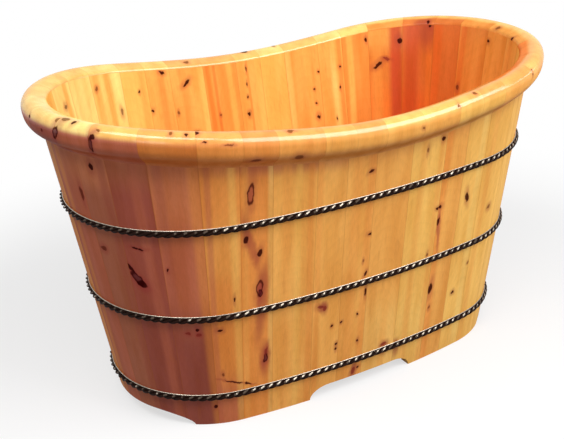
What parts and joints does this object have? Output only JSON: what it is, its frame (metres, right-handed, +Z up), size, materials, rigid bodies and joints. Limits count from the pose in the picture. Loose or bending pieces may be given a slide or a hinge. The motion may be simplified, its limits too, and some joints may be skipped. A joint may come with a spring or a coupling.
{
  "type": "wooden bathtub",
  "caption": "Oval wooden soaking tub of leaning staves with twisted metal hoops, a rolled rim high at both ends, arched feet and a push plug waste.",
  "frame": {"origin": "centre of the tub's footprint, on the ground it stands on", "axes": "+Z up, +X along the tub's length towards the waste end, +Y towards the back side; the pictured side faces -Y"},
  "size_m": [1.1998, 0.7098, 0.7076],
  "materials": {
    "stave_wood": "clear gloss varnish over knotty golden softwood",
    "rim_wood": "clear gloss varnish over paler softwood",
    "floor_wood": "clear satin varnish",
    "pin_wood": "plain hardwood",
    "hoop_metal": "dark bronzed twisted rod with bright worn crests",
    "screw_steel": "plain",
    "waste_chrome": "polished",
    "waste_rubber": "matt"
  },
  "bodies": {
    "tub": {"stave_01": "stave_wood", "stave_02": "stave_wood", "stave_03": "stave_wood", "stave_04": "stave_wood", "stave_05": "stave_wood", "stave_06": "stave_wood", "stave_07": "stave_wood", "stave_08": "stave_wood", "stave_09": "stave_wood", "stave_10": "stave_wood", "stave_11": "stave_wood", "stave_12": "stave_wood", "stave_13": "stave_wood", "stave_14": "stave_wood", "stave_15": "stave_wood", "stave_16": "stave_wood", "stave_17": "stave_wood", "stave_18": "stave_wood", "stave_19": "stave_wood", "stave_20": "stave_wood", "stave_21": "stave_wood", "stave_22": "stave_wood", "stave_23": "stave_wood", "stave_24": "stave_wood", "stave_25": "stave_wood", "stave_26": "stave_wood", "stave_27": "stave_wood", "stave_28": "stave_wood", "stave_29": "stave_wood", "stave_30": "stave_wood", "stave_31": "stave_wood", "stave_32": "stave_wood", "stave_33": "stave_wood", "stave_34": "stave_wood", "stave_35": "stave_wood", "stave_36": "stave_wood", "rim_foot_end": "rim_wood", "rim_back_side": "rim_wood", "rim_head_end": "rim_wood", "rim_front_side": "rim_wood", "hoop_lower": "hoop_metal", "hoop_middle": "hoop_metal", "hoop_upper": "hoop_metal", "floor_board_1": "floor_wood", "floor_board_2": "floor_wood", "floor_board_3": "floor_wood", "floor_board_4": "floor_wood", "floor_board_5": "floor_wood", "stave_pins": "pin_wood", "floor_pins": "pin_wood", "battens": "floor_wood", "batten_screws": "screw_steel", "waste_body": "waste_chrome", "waste_gasket_top": "waste_rubber", "waste_gasket_bottom": "waste_rubber", "waste_nut": "waste_chrome", "plug_guide": "waste_chrome"},
    "plug": {"plug_cap": "waste_chrome", "plug_seal": "waste_rubber"}
  },
  "joints": [
    {"name": "plug_slide", "type": "slide", "parent": "tub", "child": "plug", "axis": [0, 0, 1], "range_m": [0, 0.01]}
  ]
}
